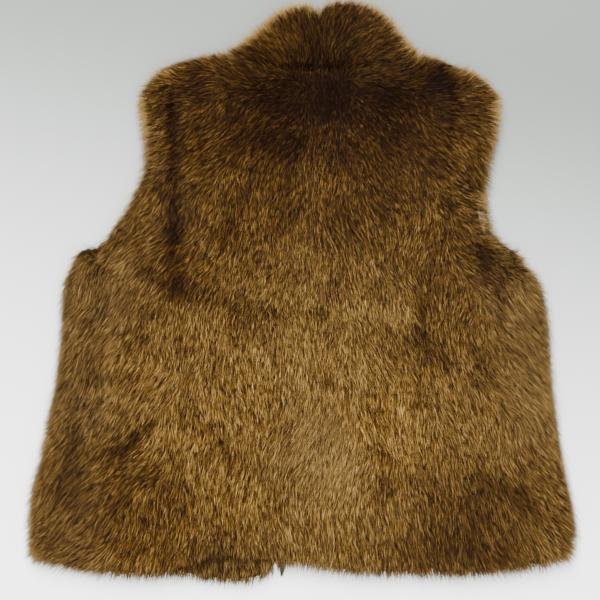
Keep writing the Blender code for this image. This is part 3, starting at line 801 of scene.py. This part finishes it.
@dataclass
class Footprint:
    """Where the vest covers the table, as a grid of cells."""

    nodes: list[bpy.types.Object]
    reach: float = 310.0
    cell: float = 2.0
    above: float = 60.0
    fringe: int = 5
    rim: int = 5
    covered: np.ndarray = field(init=False)
    fringed: np.ndarray = field(init=False)
    rimmed: np.ndarray = field(init=False)

    def __post_init__(self) -> None:
        """Look down on every cell."""
        corners, faces = [], []
        for node in self.nodes:
            faces += [[index + len(corners) for index in face.vertices] for face in node.data.polygons]
            corners += [vertex.co for vertex in node.data.vertices]
        tree = BVHTree.FromPolygons(corners, faces)
        line = np.arange(-self.reach, self.reach, self.cell)
        down = Vector((0, 0, -1))
        self.covered = np.array([[tree.ray_cast(Vector((x, y, self.above)) * MM, down)[0] is not None
                                  for y in line] for x in line])
        self.fringed = self._widened(self.covered, self.fringe)
        self.rimmed = self.covered & self._widened(~self.covered, self.rim)

    @staticmethod
    def _widened(grid: np.ndarray, cells: int) -> np.ndarray:
        """Widen the marked part of a grid.

        Args:
            grid: True in each marked cell.
            cells: By how many cells.

        Returns:
            The wider grid.
        """
        for _ in range(cells):
            grid = grid | np.roll(grid, 1, 0) | np.roll(grid, -1, 0)
            grid = grid | np.roll(grid, 1, 1) | np.roll(grid, -1, 1)
        return grid

    def _read(self, grid: np.ndarray, places: np.ndarray) -> np.ndarray:
        """The grid's value at each place."""
        cells = np.clip(((places[:, :2] + self.reach) / self.cell).astype(int), 0, len(grid) - 1)
        return grid[cells[:, 0], cells[:, 1]]

    def covers(self, places: np.ndarray) -> np.ndarray:
        """Whether each place, in millimetres, is over the vest."""
        return self._read(self.covered, places)

    def reaches(self, places: np.ndarray) -> np.ndarray:
        """Whether each place, in millimetres, is over the vest or the fringe round it."""
        return self._read(self.fringed, places)

    def rims(self, places: np.ndarray) -> np.ndarray:
        """Whether each place, in millimetres, is over the vest near its outline."""
        return self._read(self.rimmed, places)


@dataclass(frozen=True)
class Coat:
    """One layer of hair: how many tufts to a square millimetre, the hairs in each and their form.

    Widths, reaches and spreads are in millimetres. The tips reach over the place that they grow at, and up
    to a fringe more at an edge. A layer with a least edge grows only where the cloth turns at least so far
    from level.
    """

    name: str
    tufts: float
    hairs: int
    steps: int
    width: float
    longer: float
    over: float
    fringe: float
    root_spread: float
    tip_spread: float
    lighter: float
    steeper: float
    seed: int
    least_edge: float = 0.0


PILE = Coat("pile", tufts=0.15, hairs=2, steps=2, width=0.5, longer=0.9, over=1.4, fringe=5.0,
            root_spread=1.7, tip_spread=1.6, lighter=0.02, steeper=1.0, seed=11)
FINE = Coat("fine pile", tufts=0.15, hairs=11, steps=1, width=0.48, longer=0.76, over=1.0, fringe=5.0,
            root_spread=2.0, tip_spread=2.0, lighter=0.0, steeper=1.0, seed=15)
GUARD = Coat("guard hair", tufts=0.03, hairs=2, steps=2, width=0.4, longer=1.1, over=2.6, fringe=7.0,
             root_spread=1.8, tip_spread=2.0, lighter=0.05, steeper=1.2, seed=12)
# The wisps grow only at edges and are lighter: partly paler fine hair, partly painted light that comes
# through them.
WISPS = Coat("wisps", tufts=0.35, hairs=3, steps=2, width=0.34, longer=1.15, over=3.0, fringe=10.0,
             root_spread=2.5, tip_spread=4.0, lighter=0.25, steeper=1.2, seed=14, least_edge=0.3)
LAID_PILE = Coat("pressed pile", tufts=0.03, hairs=8, steps=1, width=1.6, longer=1.0, over=0.2, fringe=0.5,
                 root_spread=3.6, tip_spread=1.8, lighter=-0.02, steeper=1.0, seed=13)
TOP_COATS = (PILE, FINE, GUARD, WISPS)
UNDER_COATS = (LAID_PILE,)


@dataclass(frozen=True)
class Growth:
    """How hairs differ from one another and from the comb's lie, in every layer.

    An edge rises and is painted lighter, and a hair beyond the outline is painted lighter still, as light
    comes through it.
    Such a hair is also painted greyer. The hem, which points away from the light, is not painted lighter.
    Turns are in radians and lifts in millimetres, and tones add to the palette's shade.
    """

    under: float = -0.55
    tuft_turn: float = 0.08
    edge_rise: float = 0.4
    edge_fall: float = 0.3
    edge_lighter: float = 0.1
    rim_lighter: float = 0.09
    outside_lighter: float = 0.36
    outside_cooler: float = 0.95
    turned_lift: float = 5.0
    tuft_lengths: tuple[float, float] = (0.85, 1.15)
    hair_lengths: tuple[float, float] = (0.75, 1.1)
    hair_widths: tuple[float, float] = (0.7, 1.2)
    tip_scatter: float = 1.1
    alike: float = 0.65
    root_depth: float = 0.3
    arch: float = 0.13
    tuft_curl: float = 0.06
    hair_curl: float = 0.07
    roll: float = 0.7
    tuft_tone: float = 0.03
    hair_tone: float = 0.72
    tuft_warmth: float = 0.12
    patch: float = 26.0
    patch_seed: int = 8
    patch_tone: float = 0.05
    wide_patch: float = 70.0
    wide_patch_seed: int = 9
    wide_patch_tone: float = 0.03
    least_value: float = 0.02
    most_value: float = 0.98
    root_value: float = 0.12
    tip_value: float = 0.37
    root_tone: float = 0.5
    brightening: float = 0.8
    widest: float = 0.35
    taper: float = 0.4
    lowest: float = 0.25
    strays: float = 0.04


@dataclass
class Fur:
    """The fur of one panel, as one mesh of tapered ribbons."""

    name: str
    surface: Surface
    coats: tuple[Coat, ...]
    comb: Comb
    footprint: Footprint
    region: Side
    growth: Growth = Growth()

    def grow(self, material: bpy.types.Material) -> bpy.types.Object:
        """Grow every layer.

        Args:
            material: The fur's material.

        Returns:
            The fur's object.
        """
        points, faces, palette, first = [], [], [], 0
        for coat in self.coats:
            block, tints, corners = self._layer(coat)
            points.append(block)
            palette.append(tints)
            faces.append(corners + first)
            first += len(block)
        mesh = ribbon_mesh(self.name, *(np.concatenate(rows) for rows in (points, faces, palette)))
        return link(self.name, mesh, material)

    def _layer(self, coat: Coat) -> tuple[np.ndarray, np.ndarray, np.ndarray]:
        """Grow one layer.

        Args:
            coat: The layer.

        Returns:
            Its points, palette values and triangles.
        """
        rng = np.random.default_rng(coat.seed + sum(map(ord, self.name)))
        places, normals = self.surface.scatter(round(self.surface.areas.sum() * coat.tufts), rng)
        under = normals[:, 2] < self.growth.under
        keep = under if self.region is Side.UNDER else ~under
        keep &= 1 - np.abs(normals[:, 2]) >= coat.least_edge
        keep &= ~self.surface.is_turned(places, normals) | self.footprint.rims(places)
        return self._ribbons(coat, places[keep], normals[keep], rng)

    def _heading(self, angle: np.ndarray, rise: np.ndarray, normals: np.ndarray) -> np.ndarray:
        """Which way each tuft points, level or rising from the cloth and never into it.

        Args:
            angle: Its direction on the plan, in radians.
            rise: How steeply it leaves the cloth.
            normals: The cloth's normals.

        Returns:
            Directions of length 1.
        """
        level = np.stack([np.cos(angle), np.sin(angle), np.zeros(len(angle))], axis=1)
        inward = np.minimum(0, (level * normals).sum(axis=1))[:, None]
        edge = 1 - np.abs(normals[:, 2])
        heading = level - inward * normals + (rise + self.growth.edge_rise * edge)[:, None] * normals
        heading[:, 2] -= self.growth.edge_fall * edge
        return heading / np.linalg.norm(heading, axis=1)[:, None]

    def _ribbons(self, coat: Coat, places: np.ndarray, normals: np.ndarray,
                 rng: np.random.Generator) -> tuple[np.ndarray, np.ndarray, np.ndarray]:
        """Make the ribbons of some tufts.

        Args:
            coat: Their layer.
            places: Where they grow, in millimetres.
            normals: The cloth's normals there.
            rng: The source of chance.

        Returns:
            Points, palette values and triangles.
        """
        growth, tufts, total = self.growth, len(places), len(places) * coat.hairs

        def each(rows: np.ndarray) -> np.ndarray:
            """One row for every hair of every tuft."""
            return np.repeat(rows, coat.hairs, axis=0)

        lie = self.comb.read(places, normals[:, 2])
        # The folds add painted shade in creases and hollows and painted light on ridges.
        rise, shade = fold_effects(places, normals[:, 2])
        rise += growth.turned_lift * self.surface.is_turned(places, normals)
        angle = lie["angle"] + rng.normal(0, growth.tuft_turn, tufts)
        heading = self._heading(angle, lie["rise"] * coat.steeper, normals)
        across = np.cross(normals, heading)
        across /= np.maximum(np.linalg.norm(across, axis=1), TINY)[:, None]
        lifted = places + normals * rise[:, None]
        place, normal, heading, across = (each(rows) for rows in (lifted, normals, heading, across))
        edge = 1 - np.abs(normal[:, 2])
        length = each(lie["length"] * rng.uniform(*growth.tuft_lengths, tufts)) * coat.longer
        length *= rng.uniform(*growth.hair_lengths, total)
        on, aside, root_aside, deep = rng.normal(0, 1, (4, total, 1))
        over = coat.over + edge * rng.uniform(0, coat.fringe, total)
        tip = place + heading * (over[:, None] + growth.tip_scatter * on) + across * coat.tip_spread * aside
        beside = coat.tip_spread * growth.alike * aside + coat.root_spread * (1 - growth.alike) * root_aside
        root = place + heading * (over - length)[:, None] + across * beside
        root += np.cross(across, heading) * coat.root_spread * growth.root_depth * deep
        if self.region is Side.UNDER:
            root[:, 2] = np.minimum(root[:, 2], place[:, 2])
        curl = rng.normal(0, growth.hair_curl, (total, 1)) + each(rng.normal(0, growth.tuft_curl, (tufts, 1)))
        bend = (root + tip) / 2 + (normal * growth.arch + across * curl) * length[:, None]
        roll = rng.uniform(-growth.roll, growth.roll, (total, 1))
        side = (across * np.cos(roll) + normal * np.sin(roll)) * coat.width / 2
        side *= rng.uniform(*growth.hair_widths, (total, 1))
        tone = each(lie["shade"] + shade + rng.normal(0, growth.tuft_tone, tufts)) + coat.lighter
        # Painted light: edges, rims and fringe are lighter the more they point sideways or up towards the
        # lamp, and the hem is not.
        glow = np.maximum(np.abs(heading[:, 0]), heading[:, 1])
        tone += rng.uniform(-growth.hair_tone, growth.hair_tone, total)
        tone += glow * (growth.edge_lighter * edge + growth.rim_lighter * self.footprint.rims(place))
        x, y = place[:, 0], place[:, 1]
        tone += growth.patch_tone * waves(x, y, growth.patch, growth.patch_seed)
        tone += growth.wide_patch_tone * waves(x, y, growth.wide_patch, growth.wide_patch_seed)
        # Hairs beyond the outline are painted lighter where they point towards the light, and greyer, as
        # light that comes through them.
        outside = ~self.footprint.covers(tip)
        tone = np.where(outside, glow * (np.abs(tone) + growth.outside_lighter) + (1 - glow) * tone, tone)
        warmth = each(lie["warmth"] + rng.normal(0, growth.tuft_warmth, tufts))
        warmth = warmth * (1 - growth.outside_cooler * outside)
        kept = ~outside if self.region is Side.UNDER else self.footprint.reaches(tip)
        kept &= self.footprint.covers(root)
        kept &= (is_free(tip) & is_free((root + tip) / 2)) | (rng.random(total) < growth.strays)
        return self._blades(coat.steps, *(rows[kept] for rows in (root, bend, tip, side, tone, warmth)))

    def _blades(self, steps: int, root: np.ndarray, bend: np.ndarray, tip: np.ndarray, side: np.ndarray,
                tone: np.ndarray, warmth: np.ndarray) -> tuple[np.ndarray, np.ndarray, np.ndarray]:
        """Make curved blades that end in a point.

        Args:
            steps: Stretches along each.
            root: Where each starts.
            bend: What each curves towards.
            tip: Where each ends.
            side: Half its width, as a direction.
            tone: How much lighter than the rest each is.
            warmth: How warm its colour is.

        Returns:
            Points, palette values and triangles.
        """
        growth = self.growth
        rows, tints = [], []
        for s in np.arange(steps + 1) / steps:
            line = root * (1 - s) ** 2 + bend * 2 * s * (1 - s) + tip * s**2
            value = growth.root_value + (growth.tip_value + tone) * s**growth.brightening
            value += growth.root_tone * tone * (1 - s)
            tint = np.clip(np.stack([value, warmth], axis=1), growth.least_value, growth.most_value)
            if s == 1:
                rows.append(line)
                tints.append(tint)
            else:
                wide = side * (1 - growth.taper * abs(s - growth.widest))
                rows += [line - wide, line + wide]
                tints += [tint, tint]
        block = np.stack(rows, axis=1)
        block[:, :, 2] = np.maximum(block[:, :, 2], growth.lowest)
        pattern = [(2 * k + a, 2 * k + b, 2 * k + c)
                   for k in range(steps - 1) for a, b, c in ((0, 1, 3), (0, 3, 2))]
        pattern.append((2 * steps - 2, 2 * steps - 1, 2 * steps))
        faces = np.arange(len(block))[:, None, None] * len(rows) + np.array(pattern)
        return block.reshape(-1, 3), np.stack(tints, axis=1).reshape(-1, 2), faces.reshape(-1, 3)


def ribbon_mesh(name: str, points: np.ndarray, faces: np.ndarray, palette: np.ndarray) -> bpy.types.Mesh:
    """Join many small ribbons in one mesh.

    Args:
        name: The mesh's name.
        points: Corners, in millimetres.
        faces: Triangles, as rows of three corners.
        palette: The shade and warmth of each corner.

    Returns:
        The mesh, with the palette as its UV map.
    """
    mesh = bpy.data.meshes.new(name)
    mesh.vertices.add(len(points))
    mesh.vertices.foreach_set("co", (points * MM).astype(np.float32).ravel())
    mesh.loops.add(faces.size)
    mesh.loops.foreach_set("vertex_index", faces.astype(np.int32).ravel())
    mesh.polygons.add(len(faces))
    mesh.polygons.foreach_set("loop_start", np.arange(0, faces.size, 3, dtype=np.int32))
    mesh.update(calc_edges=True)
    mesh.shade_smooth()
    layer = mesh.uv_layers.new(name=PALETTE)
    layer.data.foreach_set("uv", palette[faces.ravel()].astype(np.float32).ravel())
    mesh.validate()
    return mesh


@dataclass
class Cloth:
    """The thin cloth in the middle of a panel's wall, which the fur grows from. Sizes are in millimetres."""

    name: str
    node: bpy.types.Object
    thick: float = 2.0
    deepest: float = 4.5
    clear: float = 0.05

    def make(self, material: bpy.types.Material) -> bpy.types.Object:
        """Draw both sides of the wall in to the cloth's own thickness.

        Args:
            material: The cloth's material.

        Returns:
            The shell's object.
        """
        mesh = merged(self.node)
        bmesh.ops.triangulate(mesh, faces=mesh.faces)
        tree = BVHTree.FromBMesh(mesh)
        moved = []
        for vertex in mesh.verts:
            start = vertex.co - vertex.normal * self.clear * MM
            reach = tree.ray_cast(start, -vertex.normal)[3]
            wall = self.thick if reach is None else reach / MM
            depth = min(max(wall / 2 - self.thick / 2, 0), self.deepest)
            moved.append(vertex.co - vertex.normal * depth * MM)
        for vertex, place in zip(mesh.verts, moved):
            vertex.co = place
        bmesh.ops.subdivide_edges(mesh, edges=mesh.edges, cuts=1, use_grid_fill=True)
        data = bpy.data.meshes.new(self.name)
        mesh.to_mesh(data)
        mesh.free()
        data.shade_smooth()
        return link(self.name, data, material)


@dataclass
class Strip:
    """A narrow strip of plain cloth on the form of its solid, with soft uneven ripples."""

    name: str
    node: bpy.types.Object
    ripple: float
    ripple_size: float
    ripple_seed: int = 21
    cuts: int = 2
    sharp: float = 40.0

    def make(self, material: bpy.types.Material) -> bpy.types.Object:
        """Ripple a copy of the solid.

        Args:
            material: The strip's material.

        Returns:
            The strip's object.
        """
        mesh = merged(self.node)
        bmesh.ops.subdivide_edges(mesh, edges=mesh.edges, cuts=self.cuts, use_grid_fill=True)
        places = np.array([vertex.co for vertex in mesh.verts]) / MM
        lift = self.ripple * waves(places[:, 0], places[:, 1], self.ripple_size, self.ripple_seed)
        for vertex, rise in zip(mesh.verts, lift):
            vertex.co.z += rise * MM
        data = bpy.data.meshes.new(self.name)
        mesh.to_mesh(data)
        mesh.free()
        data.shade_smooth()
        data.set_sharp_from_angle(angle=math.radians(self.sharp))
        return link(self.name, data, material)


@dataclass(frozen=True)
class Panel:
    """One piece of the cut: its node, slot, flat size and cut area, and where the pile turns inside."""

    node: str
    slot: str
    flat: tuple[float, float]
    area: float
    turned: tuple[Patch, ...] = ()


PANELS = (
    Panel("front_left", "front_fur", (0.30, 0.53), 0.12, ((-120, -10, -300, -262), (-190, -140, 40, 220))),
    Panel("front_right", "front_fur", (0.30, 0.51), 0.12, ((165, 215, 30, 220),)),
    Panel("back_side_left", "back_fur", (0.12, 0.52), 0.04),
    Panel("back_side_right", "back_fur", (0.12, 0.52), 0.04),
    Panel("back_lower_centre", "back_fur", (0.27, 0.28), 0.066),
    Panel("back_upper_centre", "back_fur", (0.28, 0.28), 0.066),
    Panel("collar_left", "collar_fur", (0.13, 0.09), 0.009),
    Panel("collar_right", "collar_fur", (0.13, 0.09), 0.009),
)


@dataclass
class Vest:
    """The whole vest."""

    frame: dict
    comb: Comb = field(default_factory=Comb)

    def build(self) -> list[bpy.types.Object]:
        """Make every piece, attach it to the frame's body and hide the solid that it stands for.

        Returns:
            The pieces.
        """
        nodes = self.frame["nodes"]
        furs = {name: FurFinish(name).make() for name in ("back_fur", "front_fur", "collar_fur")}
        backing = BackingFinish("fur_backing").make()
        furry = [nodes[panel.node] for panel in PANELS]
        footprint = Footprint(furry)
        pieces = []
        for panel in PANELS:
            pieces += self._panel(panel, furry, footprint, furs[panel.slot], backing)
        satin = Strip("satin_strip", nodes["armhole_lining"], ripple=0.35, ripple_size=9.0)
        pieces.append(self._strip("armhole_lining", satin, SatinFinish("satin_lining").make()))
        tape = Strip("tape", nodes["closing_tape"], ripple=0.12, ripple_size=30.0)
        pieces.append(self._strip("closing_tape", tape, TapeFinish("closing_tape").make()))
        return pieces

    def _panel(self, panel: Panel, furry: list[bpy.types.Object], footprint: Footprint,
               fur: bpy.types.Material, backing: bpy.types.Material) -> list[bpy.types.Object]:
        """Make one panel's cloth and fur.

        Args:
            panel: The panel.
            furry: The solids of all panels.
            footprint: Where the vest covers the table.
            fur: The fur's material.
            backing: The cloth's material.

        Returns:
            The cloth and its fur.
        """
        node = self.frame["nodes"][panel.node]
        others = [other for other in furry if other is not node]
        surface = Surface(node, others, panel.turned)
        cloth = Cloth(f"cloth_{panel.node}", node).make(backing)
        hairy = [Fur(f"fur_{panel.node}", surface, TOP_COATS, self.comb, footprint, Side.TOP).grow(fur)]
        if panel.slot != "back_fur":
            under = Fur(f"fur_under_{panel.node}", surface, UNDER_COATS, self.comb, footprint, Side.UNDER)
            hairy.append(under.grow(fur))
        for piece in (cloth, *hairy):
            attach(piece, BODY)
        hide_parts(panel.node)
        return [cloth, *hairy]

    def _strip(self, node: str, strip: Strip, material: bpy.types.Material) -> bpy.types.Object:
        """Make one strip of plain cloth.

        Args:
            node: The solid that it stands for.
            strip: Its form.
            material: Its material.

        Returns:
            The strip's object.
        """
        piece = strip.make(material)
        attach(piece, BODY)
        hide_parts(node)
        return piece


@dataclass(frozen=True)
class Lamp:
    """A large soft light, with its place and size in metres."""

    name: str
    place: tuple[float, float, float]
    size: float
    power: float
    colour: tuple[float, float, float] = (1.0, 1.0, 1.0)

    def make(self) -> None:
        """Add it to the scene, pointed at the vest."""
        data = bpy.data.lights.new(self.name, "AREA")
        data.size = self.size
        data.energy = self.power
        data.color = self.colour
        lamp = bpy.data.objects.new(self.name, data)
        lamp.location = self.place
        lamp.rotation_euler = (-Vector(self.place)).to_track_quat("-Z", "Y").to_euler()
        bpy.context.scene.collection.objects.link(lamp)


@dataclass
class Studio:
    """The table, the light and the camera."""

    lamps: tuple[Lamp, ...] = (
        Lamp("window", (-0.25, 1.5, 1.9), 1.5, 245.0, (1.0, 0.99, 0.97)),
        Lamp("fill", (0.5, -1.4, 1.8), 1.8, 68.0, (0.96, 0.98, 1.0)),
    )
    sky: Colour = (0.95, 0.95, 0.93, 1.0)
    sky_strength: float = 1.4
    floor_size: float = 3.0
    lens: float = 50.0
    across: float = 0.6
    focus: tuple[float, float, float] = (-0.002, -0.0104, 0.01)
    elevation: float = 88.0

    def build(self) -> None:
        """Set the whole stage."""
        for lamp in self.lamps:
            lamp.make()
        world = bpy.data.worlds.new("sky")
        world.use_nodes = True
        background = world.node_tree.nodes["Background"]
        background.inputs["Color"].default_value = self.sky
        background.inputs["Strength"].default_value = self.sky_strength
        bpy.context.scene.world = world
        mesh = bmesh.new()
        bmesh.ops.create_grid(mesh, x_segments=1, y_segments=1, size=self.floor_size)
        data = bpy.data.meshes.new("table_top")
        mesh.to_mesh(data)
        mesh.free()
        link("table_top", data, FloorFinish("table_top").make())
        self._camera()

    def _camera(self) -> None:
        """Look down on the vest from nearly straight above."""
        data = bpy.data.cameras.new("camera")
        data.lens = self.lens
        distance = self.across * self.lens / data.sensor_width
        tilt = math.radians(self.elevation)
        back = Vector((0, -math.cos(tilt), math.sin(tilt)))
        camera = bpy.data.objects.new("camera", data)
        camera.location = Vector(self.focus) + back * distance
        camera.rotation_euler = (math.pi / 2 - tilt, 0, 0)
        bpy.context.scene.collection.objects.link(camera)
        bpy.context.scene.camera = camera


def main() -> None:
    """Build the vest and its studio, and report each piece."""
    logging.basicConfig(level=logging.INFO)
    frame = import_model()
    for piece in Vest(frame).build():
        log.info("%s: %d faces", piece.name, len(piece.data.polygons))
    Studio().build()


if __name__ == "__main__":
    main()
